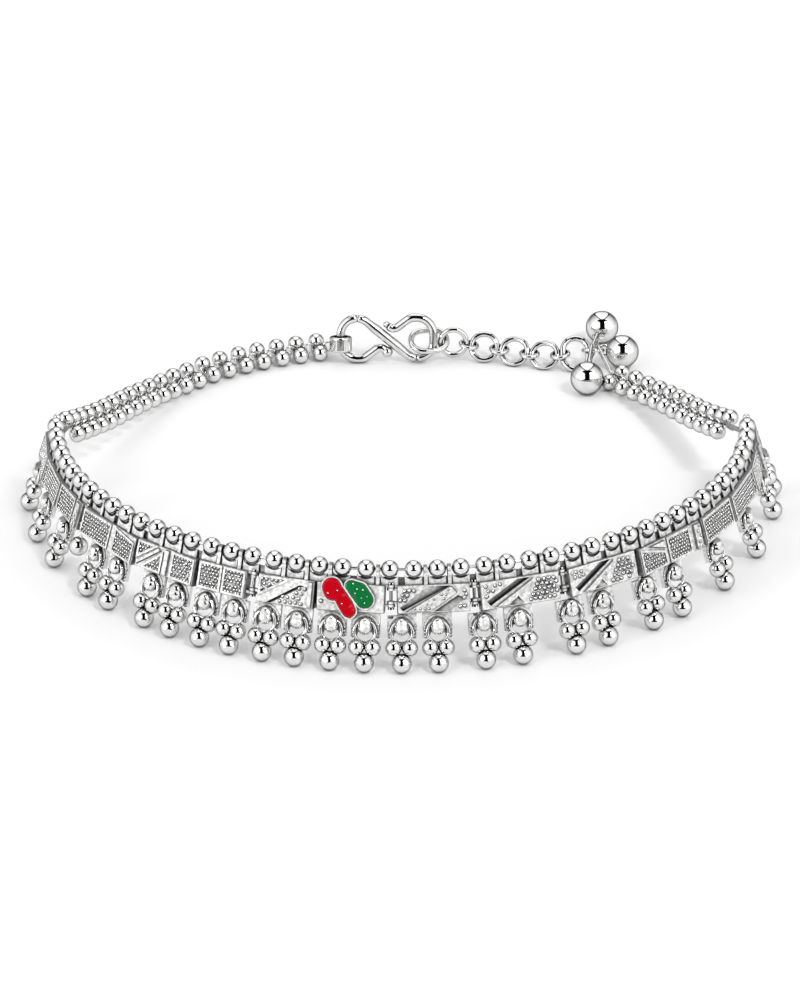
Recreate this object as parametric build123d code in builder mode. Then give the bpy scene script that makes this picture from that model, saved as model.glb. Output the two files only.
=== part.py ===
"""A silver payal (anklet): cast plates with ball tassels in front, a double ball chain behind,
an S-hook and an adjustable chain with three large balls. It lies closed, as a loop, on a flat surface."""

from build123d import *
import os
from collections import namedtuple
from math import acos, cos, degrees, pi, radians, sin, sqrt, tan

# ---------------------------------------------------------------- driving dimensions (mm, degrees)
# The loop: angles are measured about its centre from the front, positive towards +X.
LOOP_SHIFT_Y = -0.28        # the loop's centre, so that the box round the anklet is centred on the origin
LOOP_SHIFT_X = -0.04
TOP_RADIUS = 41.6           # circle that the top row of balls follows
TOP_MEAN_HEIGHT = 10.3      # height of that circle's centre above the surface
TOP_RISE = 1.1              # the circle's front point lies this much higher
BAND_LEAN = 17.5            # the band leans outwards on its way down

# The top row of drilled balls on a wire
BEAD_RADIUS = 1.025
BEAD_BORE = 0.6
BEAD_PITCH = 2.72
BEAD_COUNT = 48
TOP_WIRE = 0.4
WIRE_END_BALL = 0.45

# The cast plates, measured down from the ball row
PLATE_TOP = 1.75
PLATE_HEIGHT = 3.3
PLATE_FRONT = 0.5           # front face, outwards from the ball row's circle
PLATE_DEPTH = 1.3
PLATE_WALL = 0.45           # wall round the hollow of the back
POCKET_DEPTH = 0.7
RIM = 0.26                  # raised outlines round the granulated fields
RIM_HEIGHT = 0.16
PANEL_HEIGHT = 0.3          # raised smooth panels
LUG_THICK = 0.42            # small eyes between the balls, on the plates' top edge
LUG_RADIUS = 0.52

# Hinges between the plates
PIN = 0.4
PIN_BORE = 0.62
PIN_HEAD = 0.78
PIN_HEAD_THICK = 0.2
KNUCKLE_RADIUS = 0.55
OPEN_KNUCKLE_RADIUS = 0.5
KNUCKLE_SETBACK = 1.65      # hidden hinges stand this far behind the ball row's circle
OPEN_GAP = 0.9              # a gap wider than this shows its pin

# Tabs, eyes and tassels, measured up from the lowest ball
TAB_WIDTH = 3.4
TAB_FRONT = 0.1
TAB_THICK = 0.5
TAB_FOOT = 2.9
TAB_OVERLAP = 0.35
EYE_UPPER = 4.6
EYE_LOWER = 4.1
EYE_UPPER_RADIUS = 0.8
EYE_LOWER_RADIUS = 0.85
EYE_BORE = 0.68
RING_UP = 3.6
RING_RADIUS = 1.25
RING_WIRE = 0.4
RING_OUT = 0.45             # the tassel's plane, outwards from the ball row's circle
TASSEL_BALL = 0.95
TASSEL_SPREAD = 0.93
TASSEL_UPPER = 1.8
LOW_BALL = 1.14

# The double ball chain
CHAIN_BALL = 1.0
PAIR_HALF = 1.15            # half the distance between the two balls of a pair
CHAIN_PITCH = 2.6
LINK_WIRE = 0.26
LINK_HALF_LENGTH = 1.0
LINK_HALF_WIDTH = 0.45
RING_REACH = 0.6            # a round ring passes this far from the middle of the pair beside it

LOOP_CENTRE = Vector(LOOP_SHIFT_X, LOOP_SHIFT_Y, 0)
UP = Vector(0, 0, 1)

# ---------------------------------------------------------------- tables
# The plates from the left end round the front to the right end.
Plate = namedtuple("Plate", "start end tassels face")
PLATES = [
    Plate(-90.5, -80.5, (-86,), "square"),
    Plate(-80.0, -70.5, (-75,), "square"),
    Plate(-70.0, -61.5, (-66,), "square_and_strip"),
    Plate(-60.0, -46.0, (-55, -49.5), "square_and_wedge"),
    Plate(-45.5, -33.7, (-41.6, -36.6), "hourglass"),
    Plate(-33.1, -24.6, (-31.2, -26.2), "two_squares"),
    Plate(-22.6, -13.5, (-20.9, -15.9), "wings"),
    Plate(-13.1, -2.6, (-10.6, -5.5), "smooth"),
    Plate(-0.7, 10.5, (0.0, 5.4), "wide_ribbon"),
    Plate(12.1, 24.9, (12.4, 18.0), "ribbon"),
    Plate(26.6, 39.0, (26.5, 32.0), "ribbon"),
    Plate(39.8, 54.0, (40.5, 46.5), "leaf_and_square"),
    Plate(55.0, 64.3, (57.5,), "square"),
    Plate(64.8, 76.0, (69.5,), "square"),
    Plate(76.5, 86.5, (83,), "square_and_strip"),
    Plate(87.0, 94.0, (91,), "square"),
]

# Relief of the plates: corners in fractions of the plate's width and height from its lower left
# corner. A rim is a raised outline, a panel is raised all over, a slope is cut down from its first
# edge towards its last corner.
Field = namedtuple("Field", "kind corners")
FACES = {
    "square": [Field("rim", ((0, 0), (1, 0), (1, 1), (0, 1)))],
    "square_and_strip": [
        Field("rim", ((0, 0), (0.72, 0), (0.72, 1), (0, 1))),
        Field("panel", ((0.8, 0), (1, 0), (1, 1), (0.8, 1))),
    ],
    "square_and_wedge": [
        Field("rim", ((0, 0), (0.54, 0), (0.54, 1), (0, 1))),
        Field("rim", ((0.62, 0), (1, 0), (1, 0.82), (0.62, 1))),
    ],
    "hourglass": [
        Field("rim", ((0, 0.28), (0.36, 1), (0, 1))),
        Field("panel", ((0.02, 0.02), (0.42, 0.86), (0.37, 0.98), (0.02, 0.24))),
        Field("rim", ((0.08, 0), (0.45, 0), (0.45, 0.86))),
        Field("panel", ((0.48, 0), (0.57, 0), (0.57, 1), (0.48, 1))),
        Field("rim", ((0.61, 0), (1, 0), (1, 1), (0.61, 1))),
    ],
    "two_squares": [
        Field("rim", ((0, 0), (0.49, 0), (0.49, 1), (0, 1))),
        Field("rim", ((0.52, 0), (1, 0), (1, 1), (0.52, 1))),
    ],
    "wings": [
        Field("rim", ((0, 0.2), (0.62, 1), (0, 1))),
        Field("slope", ((0.16, 0.0), (0.74, 0.8), (0.84, 0.8), (0.84, 0.0))),
        Field("panel", ((0.9, 0), (1, 0), (1, 1), (0.9, 1))),
    ],
    "smooth": [],
    "wide_ribbon": [
        Field("slope", ((0.06, 0.06), (0.74, 0.97), (0.42, 0.97), (0.02, 0.2))),
        Field("panel", ((0.07, 0.02), (0.46, 0.02), (0.84, 0.7), (0.76, 0.97), (0.70, 0.94))),
        Field("slope", ((0.84, 0.6), (0.5, 0.02), (0.74, 0.02), (0.95, 0.5))),
    ],
    "ribbon": [
        Field("slope", ((0.1, 0.1), (0.64, 0.97), (0.47, 0.97), (0.04, 0.35))),
        Field("panel", ((0.13, 0.02), (0.32, 0.02), (0.62, 0.6), (0.68, 0.97))),
        Field("slope", ((0.46, 0.36), (0.34, 0.02), (0.54, 0.02))),
    ],
    "leaf_and_square": [
        Field("rim", ((0, 0), (0.4, 0), (0.4, 0.55), (0, 1))),
        Field("panel", ((0.12, 0.98), (0.4, 0.62), (0.4, 0.98))),
        Field("rim", ((0.44, 0), (0.82, 0), (0.82, 1), (0.44, 1))),
        Field("panel", ((0.88, 0), (1, 0), (1, 1), (0.88, 1))),
    ],
}

# Where the outer balls of the chain lie, and how far the pair leans below the horizontal.
Drape = namedtuple("Drape", "angle radius height lean")
DRAPE = [
    Drape(85, 42.2, 11.5, 50),
    Drape(91, 41.3, 9.9, 50),
    Drape(97, 40.4, 8.3, 42),
    Drape(103, 39.8, 6.9, 35),
    Drape(109, 39.5, 5.7, 29),
    Drape(116, 39.6, 4.6, 23),
    Drape(122, 40.1, 3.7, 19),
    Drape(128, 40.8, 2.8, 17),
    Drape(134, 41.6, 2.1, 16.5),
    Drape(140, 42.4, 1.7, 16.5),
    Drape(146, 42.9, 1.66, 16.5),
    Drape(180, 42.9, 1.66, 16.5),
]
LEFT_CHAIN = (94.0, 165.4)   # angles of its first and last pair, on the left side
RIGHT_CHAIN = (97.6, 139.4)  # and on the right side


# ---------------------------------------------------------------- places
def outwards(angle):
    """Horizontal direction away from the loop's centre."""
    return Vector(sin(radians(angle)), -cos(radians(angle)), 0)


def along(angle):
    """Horizontal direction along the loop, towards +X in front."""
    return Vector(cos(radians(angle)), sin(radians(angle)), 0)


def top_height(angle):
    return TOP_MEAN_HEIGHT + TOP_RISE * cos(radians(angle))


def lowest_ball_down(angle):
    """Distance down the band from the top row to the tassel's lowest ball, which lies on the surface."""
    height = top_height(angle) + RING_OUT * sin(radians(BAND_LEAN)) - LOW_BALL
    return height / cos(radians(BAND_LEAN))


def band_plane(angle, down=0.0, out=0.0, aside=0.0):
    """Plane of the band at an angle: x along it, y up it, z outwards."""
    facing = outwards(angle) * cos(radians(BAND_LEAN)) + UP * sin(radians(BAND_LEAN))
    origin = LOOP_CENTRE + outwards(angle) * TOP_RADIUS + UP * top_height(angle)
    plane = Plane(origin=origin, x_dir=along(angle), z_dir=facing)
    return Plane(origin=plane.from_local_coords(Vector(aside, -down, out)),
                 x_dir=plane.x_dir, z_dir=plane.z_dir)


def plate_half_width(plate):
    radius = TOP_RADIUS + (PLATE_TOP + PLATE_HEIGHT / 2) * sin(radians(BAND_LEAN))
    return radius * tan(radians(plate.end - plate.start) / 2)


def middle_angle(plate):
    return (plate.start + plate.end) / 2


def bead_angle(place):
    """Angle of the balls of the top row; half numbers lie between two balls."""
    step = degrees(BEAD_PITCH / TOP_RADIUS)
    return (place - (BEAD_COUNT - 1) / 2) * step


# ---------------------------------------------------------------- small shapes
def add_ring(plane, radius, wire):
    """Adds a round ring of round wire that lies in the plane."""
    with Locations(plane):
        Torus(radius, wire / 2)


def add_ball(place, radius):
    with Locations(place):
        Sphere(radius)


def add_bar(start, end, thickness):
    """Adds a round bar with round ends between two points."""
    direction = end - start
    bar_plane = Plane(origin=(start + end) * 0.5, z_dir=direction)
    with Locations(bar_plane):
        Cylinder(thickness / 2, direction.length)
    add_ball(start, thickness / 2)
    add_ball(end, thickness / 2)


def oval_ring(plane, half_length, half_width, wire):
    """An oval ring of round wire, long along the plane's x."""
    straight = half_length - half_width
    with BuildPart() as oval:
        with BuildLine(plane) as path:
            Line((-straight, -half_width), (straight, -half_width))
            ThreePointArc((straight, -half_width), (half_length, 0), (straight, half_width))
            Line((straight, half_width), (-straight, half_width))
            ThreePointArc((-straight, half_width), (-half_length, 0), (-straight, -half_width))
        start = path.wires()[0].edges()[0]
        with BuildSketch(Plane(origin=start @ 0, z_dir=start % 0)):
            Circle(wire / 2)
        sweep(path=path.wires()[0])
    return oval.part


def oval_between(first, last, across, half_width, wire, first_margin, last_margin):
    """An oval ring that reaches past two points; across lies in its plane."""
    direction = (last - first).normalized()
    start = first - direction * first_margin
    finish = last + direction * last_margin
    normal = direction.cross(across)
    plane = Plane(origin=(start + finish) * 0.5, x_dir=direction, z_dir=normal)
    return oval_ring(plane, (finish - start).length / 2, half_width, wire)


# ---------------------------------------------------------------- plates
def field_points(plate, corners):
    """Corners of a relief field in the plate's own plane."""
    half = plate_half_width(plate)
    inset = 0.1
    width = 2 * (half - inset)
    height = PLATE_HEIGHT - 2 * inset
    return [((u - 0.5) * width, (v - 0.5) * height) for u, v in corners]


def slope_cutter(plate, corners):
    """Wedge above a slope that starts at the face along the far corners and falls to its first edge."""
    points = field_points(plate, corners)
    face = band_plane(middle_angle(plate), PLATE_TOP + PLATE_HEIGHT / 2, PLATE_FRONT)
    first = face.from_local_coords(Vector(points[0][0], points[0][1], -0.5))
    second = face.from_local_coords(Vector(points[1][0], points[1][1], -0.5))
    far = face.from_local_coords(Vector(points[2][0], points[2][1], 0.02))
    normal = (second - first).cross(far - first)
    if normal.dot(face.z_dir) < 0:
        normal = normal * -1
    with BuildPart() as cutter:
        with BuildSketch(face.offset(-0.7)):
            Polygon(*points, align=None)
        extrude(amount=1.6)
        split(bisect_by=Plane(origin=first, z_dir=normal), keep=Keep.TOP)
    return cutter.part


def plate_relief(plate):
    """Adds and cuts the face's relief."""
    face = band_plane(middle_angle(plate), PLATE_TOP + PLATE_HEIGHT / 2, PLATE_FRONT)
    for field in FACES[plate.face]:
        if field.kind == "slope":
            continue
        with BuildSketch(face.offset(-0.05)) as relief:
            Polygon(*field_points(plate, field.corners), align=None)
            if field.kind == "rim":
                offset(amount=-RIM, kind=Kind.INTERSECTION, mode=Mode.SUBTRACT)
        if field.kind == "rim":
            extrude(relief.sketch, amount=RIM_HEIGHT + 0.05)
        else:
            extrude(relief.sketch, amount=PANEL_HEIGHT + 0.05, taper=20)
    for field in FACES[plate.face]:
        if field.kind == "slope":
            add(slope_cutter(plate, field.corners), mode=Mode.SUBTRACT)


def junction(index):
    """Angle, gap width and setback of the hinge after a plate."""
    left, right = PLATES[index], PLATES[index + 1]
    angle = (left.end + right.start) / 2
    radius = TOP_RADIUS + (PLATE_TOP + PLATE_HEIGHT / 2) * sin(radians(BAND_LEAN))
    gap = 2 * radius * sin(radians(right.start - left.end) / 2)
    setback = 0.0 if gap > OPEN_GAP else KNUCKLE_SETBACK
    return angle, gap, setback


# Heights of the knuckles on the pin, measured down from the plate's top edge.
Knuckle = namedtuple("Knuckle", "side top bottom")
HIDDEN_KNUCKLES = [
    Knuckle("left", 0.1, 0.55),
    Knuckle("right", 0.7, 1.15),
    Knuckle("right", 2.15, 2.6),
    Knuckle("left", 2.75, 3.2),
]
OPEN_KNUCKLES = [
    Knuckle("left", 0.06, 0.34),
    Knuckle("right", 0.42, 0.7),
    Knuckle("right", 1.98, 2.26),
    Knuckle("left", 2.34, 2.62),
]
OPEN_FOOT = 2.84            # foot of the open hinges' pins, down from the plates' top edge
BALL_PIN = 2                # the hinge whose pin ends in a hanging ball
BALL_PIN_DOWN = 5.2


def add_knuckles(index, side):
    """Adds one plate's knuckles of the hinge after plate number index, with their arms."""
    angle, gap, setback = junction(index)
    reach = gap / 2 + (0.5 if setback == 0.0 else 0.85)
    knuckle_radius = KNUCKLE_RADIUS if setback else min(OPEN_KNUCKLE_RADIUS, gap / 2 - 0.12)
    for knuckle in HIDDEN_KNUCKLES if setback else OPEN_KNUCKLES:
        if knuckle.side != side:
            continue
        height = knuckle.bottom - knuckle.top
        centre = band_plane(angle, PLATE_TOP + (knuckle.top + knuckle.bottom) / 2, -setback)
        towards = -1 if side == "left" else 1
        arm_depth = 0.6 if setback == 0.0 else setback + 0.25
        arm_out = 0.0 if setback == 0.0 else arm_depth / 2 - 0.3
        knuckle_plane = Plane(origin=centre.origin, x_dir=centre.x_dir, z_dir=centre.y_dir)
        with Locations(knuckle_plane):
            Cylinder(knuckle_radius, height)
        arm = Plane(origin=centre.from_local_coords(Vector(towards * reach / 2, 0, arm_out)),
                    x_dir=centre.x_dir, z_dir=centre.y_dir)
        with Locations(arm):
            Box(reach, arm_depth, height)


def cut_hinge_bore(index):
    angle, gap, setback = junction(index)
    centre = band_plane(angle, PLATE_TOP + PLATE_HEIGHT / 2, -setback)
    with Locations(Plane(origin=centre.origin, x_dir=centre.x_dir, z_dir=centre.y_dir)):
        Cylinder(PIN_BORE / 2, PLATE_HEIGHT + 1.4, mode=Mode.SUBTRACT)


def tab_arch(angle):
    """Adds the raised arch over a tab's eye."""
    low = lowest_ball_down(angle)
    with BuildSketch(band_plane(angle, low - EYE_LOWER + 0.1, TAB_FRONT - 0.05)) as arch:
        Circle(1.62)
        Circle(1.38, mode=Mode.SUBTRACT)
        with Locations((0, -1.2)):
            Rectangle(4, 2.4, mode=Mode.SUBTRACT)
    extrude(arch.sketch, amount=0.15)


def add_tab(angle):
    """Adds a tab below the plate with its domed eye."""
    low = lowest_ball_down(angle)
    foot = low - TAB_FOOT
    head = PLATE_TOP + PLATE_HEIGHT - TAB_OVERLAP
    with BuildSketch(band_plane(angle, (head + foot) / 2, TAB_FRONT)) as tab:
        Rectangle(TAB_WIDTH, foot - head)
        with Locations((0, -(foot - head) / 2)):
            Circle(0.95, mode=Mode.SUBTRACT)
    extrude(tab.sketch, amount=-TAB_THICK)
    tab_arch(angle)
    add_ball(band_plane(angle, low - EYE_UPPER, RING_OUT).origin, EYE_UPPER_RADIUS)
    add_ball(band_plane(angle, low - EYE_LOWER, RING_OUT).origin, EYE_LOWER_RADIUS)
    with Locations(band_plane(angle, low - RING_UP, RING_OUT)):
        Torus(RING_RADIUS, EYE_BORE / 2, mode=Mode.SUBTRACT)


def lug_places(plate):
    """Places between two balls of the top row where the plate carries a small eye."""
    inside = [place + 0.5 for place in range(-1, BEAD_COUNT)
              if plate.start + 0.9 < bead_angle(place + 0.5) < plate.end - 0.9]
    return [inside[0], inside[-1]] if len(inside) > 1 else inside


def add_lug(place):
    """Adds a thin upright eye for the top wire."""
    angle = bead_angle(place)
    shank = PLATE_TOP + 0.45
    with BuildSketch(Plane(origin=band_plane(angle, 0, 0, -LUG_THICK / 2).origin,
                           x_dir=band_plane(angle).z_dir, z_dir=band_plane(angle).x_dir)) as eye:
        Circle(LUG_RADIUS)
    extrude(eye.sketch, amount=LUG_THICK)
    box_plane = band_plane(angle, shank / 2, 0)
    with Locations(box_plane):
        Box(LUG_THICK, shank, 0.8)


def cut_lug_bores(places):
    for place in places:
        plane = band_plane(bead_angle(place))
        with Locations(Plane(origin=plane.origin, x_dir=plane.z_dir, z_dir=plane.x_dir)):
            Cylinder(BEAD_BORE / 2, 1.2, mode=Mode.SUBTRACT)


def clear_beside(plate):
    """Cuts back what a wide tab would put beside the plate, where the next hinge and plate are."""
    half = plate_half_width(plate)
    depth = PLATE_HEIGHT + 0.3
    for side in (-1, 1):
        beside = band_plane(middle_angle(plate), PLATE_TOP + depth / 2, 0, side * (half + 1.5 + 0.02))
        with Locations(beside):
            Box(3, depth, 4, mode=Mode.SUBTRACT)


def make_plate(index):
    plate = PLATES[index]
    angle = middle_angle(plate)
    centre_down = PLATE_TOP + PLATE_HEIGHT / 2
    half = plate_half_width(plate)
    with BuildPart() as cast:
        with BuildSketch(band_plane(angle, centre_down, PLATE_FRONT - PLATE_DEPTH)):
            Rectangle(2 * half, PLATE_HEIGHT)
        extrude(amount=PLATE_DEPTH)
        front = cast.faces().sort_by(Axis(band_plane(angle).origin, band_plane(angle).z_dir))[-1]
        fillet(front.edges(), 0.12)
        plate_relief(plate)
        for place in lug_places(plate):
            add_lug(place)
        for tassel_angle in plate.tassels:
            add_tab(tassel_angle)
        clear_beside(plate)
        if index == ENAMEL_PLATE:
            enamel_seats()
        if index > 0:
            add_knuckles(index - 1, "right")
        if index < len(PLATES) - 1:
            add_knuckles(index, "left")
        if index == 0:
            add_chain_lug(LEFT_FIRST, angle - 3.2)
        if index == len(PLATES) - 1:
            add_chain_lug(RIGHT_FIRST, angle + 1.6)
        with BuildSketch(band_plane(angle, centre_down, PLATE_FRONT - PLATE_DEPTH)):
            Rectangle(2 * (half - PLATE_WALL), PLATE_HEIGHT - 2 * PLATE_WALL)
        extrude(amount=POCKET_DEPTH, mode=Mode.SUBTRACT)
        if index > 0:
            cut_hinge_bore(index - 1)
        if index < len(PLATES) - 1:
            cut_hinge_bore(index)
        cut_lug_bores(lug_places(plate))
    return cast


def make_pin_pattern(top, bottom, ball_down=None):
    """An upright pin with flat heads; its origin is level with the plates' top edge."""
    with BuildPart() as pin:
        with Locations((0, 0, (top + bottom) / 2)):
            Cylinder(PIN / 2, top - bottom)
        with Locations((0, 0, top), (0, 0, bottom)):
            Cylinder(PIN_HEAD / 2, PIN_HEAD_THICK)
        if ball_down:
            with Locations((0, 0, (bottom - ball_down) / 2)):
                Cylinder(PIN / 2, bottom + ball_down)
            with Locations((0, 0, -ball_down)):
                Sphere(LOW_BALL)
    return pin


def make_hinge_pins():
    """The upright pins of the hinges; one of them ends in a hanging ball."""
    long_pin = make_pin_pattern(0.12, -PLATE_HEIGHT - 0.12)
    short_pin = make_pin_pattern(0.12, -OPEN_FOOT)
    ball_pin = make_pin_pattern(0.12, -OPEN_FOOT, BALL_PIN_DOWN)
    pins = []
    for index in range(len(PLATES) - 1):
        angle, gap, setback = junction(index)
        pattern = long_pin if setback else short_pin
        if index == BALL_PIN:
            pattern = ball_pin
        top = band_plane(angle, PLATE_TOP, -setback)
        place = Plane(origin=top.origin, x_dir=top.x_dir, z_dir=top.y_dir)
        pins.append(pattern.part.moved(place.location))
    with BuildPart() as all_pins:
        add(pins)
    return all_pins


# ---------------------------------------------------------------- top row
TOP_PLANE = Plane(origin=LOOP_CENTRE + UP * TOP_MEAN_HEIGHT, x_dir=(1, 0, 0),
                  z_dir=(0, TOP_RISE, sqrt(TOP_RADIUS ** 2 - TOP_RISE ** 2)))


def top_point(angle):
    """Point of the top wire, in its own plane."""
    return (TOP_RADIUS * sin(radians(angle)), -TOP_RADIUS * cos(radians(angle)))


def make_top_wire():
    first = bead_angle(-0.95)
    last = bead_angle(BEAD_COUNT - 0.05)
    with BuildPart() as wire:
        with BuildLine(TOP_PLANE) as path:
            arc = ThreePointArc(top_point(first), top_point((first + last) / 2), top_point(last))
        with BuildSketch(Plane(origin=arc @ 0, z_dir=arc % 0)):
            Circle(TOP_WIRE / 2)
        sweep(path=path.wires()[0])
        add_ball(arc @ 0, WIRE_END_BALL)
        add_ball(arc @ 1, WIRE_END_BALL)
    return wire


def make_top_beads(places):
    with BuildPart() as beads:
        for place in places:
            angle = bead_angle(place)
            x, y = top_point(angle)
            centre = TOP_PLANE.from_local_coords(Vector(x, y, 0))
            bore = Plane(origin=centre, z_dir=along(angle))
            with Locations(bore):
                Sphere(BEAD_RADIUS)
                Cylinder(BEAD_BORE / 2, 3 * BEAD_RADIUS, mode=Mode.SUBTRACT)
    return beads


# ---------------------------------------------------------------- tassels
def make_tassel_pattern():
    """A ring with three balls soldered below it; its origin is the lowest ball's centre."""
    with BuildPart() as tassel:
        with Locations((0, RING_UP, 0)):
            Torus(RING_RADIUS, RING_WIRE / 2)
        with Locations((-TASSEL_SPREAD, TASSEL_UPPER, 0), (TASSEL_SPREAD, TASSEL_UPPER, 0)):
            Sphere(TASSEL_BALL)
        Sphere(LOW_BALL)
    return tassel


def make_tassels(plate, pattern):
    """The plate's tassels."""
    places = [band_plane(angle, lowest_ball_down(angle), RING_OUT) for angle in plate.tassels]
    with BuildPart() as tassels:
        add([pattern.part.moved(place.location) for place in places])
    return tassels


# ---------------------------------------------------------------- double ball chain
def drape(angle):
    """Radius, height and lean of the chain at an angle, smoothly between the rows of the table."""
    rows = DRAPE
    index = max(i for i in range(len(rows) - 1) if rows[i].angle <= angle or i == 0)
    low, high = rows[index], rows[index + 1]
    before, after = rows[max(index - 1, 0)], rows[min(index + 2, len(rows) - 1)]
    span = high.angle - low.angle
    t = (angle - low.angle) / span
    values = []
    for name in ("radius", "height", "lean"):
        v0, v1 = getattr(low, name), getattr(high, name)
        s0 = (v1 - getattr(before, name)) / (high.angle - before.angle) * span
        s1 = (getattr(after, name) - v0) / (after.angle - low.angle) * span
        values.append((2 * t ** 3 - 3 * t ** 2 + 1) * v0 + (t ** 3 - 2 * t ** 2 + t) * s0
                      + (3 * t ** 2 - 2 * t ** 3) * v1 + (t ** 3 - t ** 2) * s1)
    return values


Station = namedtuple("Station", "middle pair forward")


def chain_point(angle, side):
    """Middle of a pair of balls and the direction from its inner to its outer ball."""
    radius, height, lean = drape(angle)
    pair = outwards(side * angle) * cos(radians(lean)) + UP * sin(radians(lean))
    outer = LOOP_CENTRE + outwards(side * angle) * radius + UP * height
    return outer - pair * PAIR_HALF, pair


def chain_stations(first, last, side):
    """Evenly spaced pairs from the first angle to the last, with one more place before and after."""
    samples = 600
    angles = [first + (last - first) * i / samples for i in range(samples + 1)]
    points = [chain_point(a, side)[0] for a in angles]
    lengths = [0.0]
    for i in range(samples):
        lengths.append(lengths[-1] + (points[i + 1] - points[i]).length)
    count = round(lengths[-1] / CHAIN_PITCH)
    pitch = lengths[-1] / count
    picked = []
    for k in range(count + 1):
        nearest = min(range(samples + 1), key=lambda i: abs(lengths[i] - k * pitch))
        picked.append(angles[nearest])
    step_first = picked[1] - picked[0]
    step_last = picked[-1] - picked[-2]
    picked = [picked[0] - step_first] + picked + [picked[-1] + step_last]
    places = [chain_point(a, side) for a in picked]
    stations = []
    for i in range(1, len(places) - 1):
        forward = (places[i + 1][0] - places[i - 1][0]).normalized()
        stations.append(Station(places[i][0], places[i][1], forward))
    before = Station(places[0][0], places[0][1], stations[0].forward)
    after = Station(places[-1][0], places[-1][1], stations[-1].forward)
    return [before] + stations + [after]


def ring_between(first, last):
    """Plane and radius of the round ring that joins two pairs."""
    direction = last.middle - first.middle
    along_chain = direction.normalized()
    pair = first.pair + last.pair
    normal = (pair - along_chain * pair.dot(along_chain)).normalized()
    plane = Plane(origin=(first.middle + last.middle) * 0.5, x_dir=direction, z_dir=normal)
    return plane, direction.length / 2 - RING_REACH


def make_pair_pattern():
    """Two balls soldered on an oval wire loop: x along the chain, y from the inner to the outer ball."""
    with BuildPart() as pair:
        add(oval_ring(Plane.XY, LINK_HALF_LENGTH, LINK_HALF_WIDTH, LINK_WIRE))
        with Locations((0, PAIR_HALF, 0), (0, -PAIR_HALF, 0)):
            Sphere(CHAIN_BALL)
    return pair


def make_chain(stations, pattern):
    """The pairs on their wire loops and the rings between them."""
    pairs = stations[1:-1]
    links = []
    for index, pair in enumerate(pairs):
        place = Plane(origin=pair.middle, x_dir=pair.forward, z_dir=pair.forward.cross(pair.pair))
        links.append(pattern.part.moved(place.location))
        if index < len(pairs) - 1:
            plane, radius = ring_between(pair, pairs[index + 1])
            with BuildPart() as ring:
                add_ring(plane, radius, LINK_WIRE)
            links.append(ring.part)
    with BuildPart() as chain:
        add(links)
    return chain


LEFT_STATIONS = chain_stations(LEFT_CHAIN[0], LEFT_CHAIN[1], -1)
RIGHT_STATIONS = chain_stations(RIGHT_CHAIN[0], RIGHT_CHAIN[1], 1)
LEFT_FIRST = LEFT_STATIONS[0:2]
RIGHT_FIRST = RIGHT_STATIONS[0:2]


def add_chain_lug(stations, bar_angle):
    """Adds the ring that carries the chain's first pair, with a bar to the plate."""
    plane, radius = ring_between(stations[0], stations[1])
    add_ring(plane, radius, LINK_WIRE + 0.02)
    start = plane.from_local_coords(Vector(-radius, 0, 0))
    add_bar(start, band_plane(bar_angle, PLATE_TOP + 0.5, -0.45).origin, 0.6)


# ---------------------------------------------------------------- clasp
HOOK_CENTRE = LOOP_CENTRE + Vector(-1.84, 39.4, 2.96)
HOOK_LEAN = 15
HOOK_WIRE = 0.8
HOOK_TIP = 0.55
HOOK_MIDDLE = 1.0           # thickness and length of the stouter middle, and its tapers
HOOK_MIDDLE_LENGTH = 3.6
HOOK_TAPER = 1.3
HOOK_UP = Vector(0, sin(radians(HOOK_LEAN)), cos(radians(HOOK_LEAN)))
HOOK_PLANE = Plane(origin=HOOK_CENTRE, x_dir=(1, 0, 0), z_dir=Vector(1, 0, 0).cross(HOOK_UP))
Bend = namedtuple("Bend", "x y radius")
HOOK_HALF = [               # the left half of the S from its tip to its middle
    Bend(0.05, -1.75, 0),
    Bend(-0.85, -1.05, 0.8),
    Bend(-3.0, -2.66, 1.6),
    Bend(-5.85, -2.58, 2.1),
    Bend(-5.85, 2.65, 2.05),
    Bend(-3.1, 2.5, 2.2),
    Bend(0, 0, 0),
]
BARREL_OUTER = 1.4
BARREL_INNER = 0.85
BARREL_HEIGHT = 1.9
BARREL_DOWN = 0.6


def flat(point):
    return (point.X, point.Y)


def rounded_path(bends):
    """Adds the straight runs and tangent arcs of a bent wire to the line being built."""
    start = Vector(bends[0].x, bends[0].y)
    for i in range(1, len(bends) - 1):
        corner = Vector(bends[i].x, bends[i].y)
        inwards = (Vector(bends[i - 1].x, bends[i - 1].y) - corner).normalized()
        onwards = (Vector(bends[i + 1].x, bends[i + 1].y) - corner).normalized()
        half_turn = (pi - acos(inwards.dot(onwards))) / 2
        cut = bends[i].radius * tan(half_turn)
        arc_start = corner + inwards * cut
        arc_end = corner + onwards * cut
        bisector = (inwards + onwards).normalized()
        centre = corner + bisector * (bends[i].radius / cos(half_turn))
        arc_middle = centre - bisector * bends[i].radius
        Line(flat(start), flat(arc_start))
        ThreePointArc(flat(arc_start), flat(arc_middle), flat(arc_end))
        start = arc_end
    Line(flat(start), (bends[-1].x, bends[-1].y))


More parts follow.
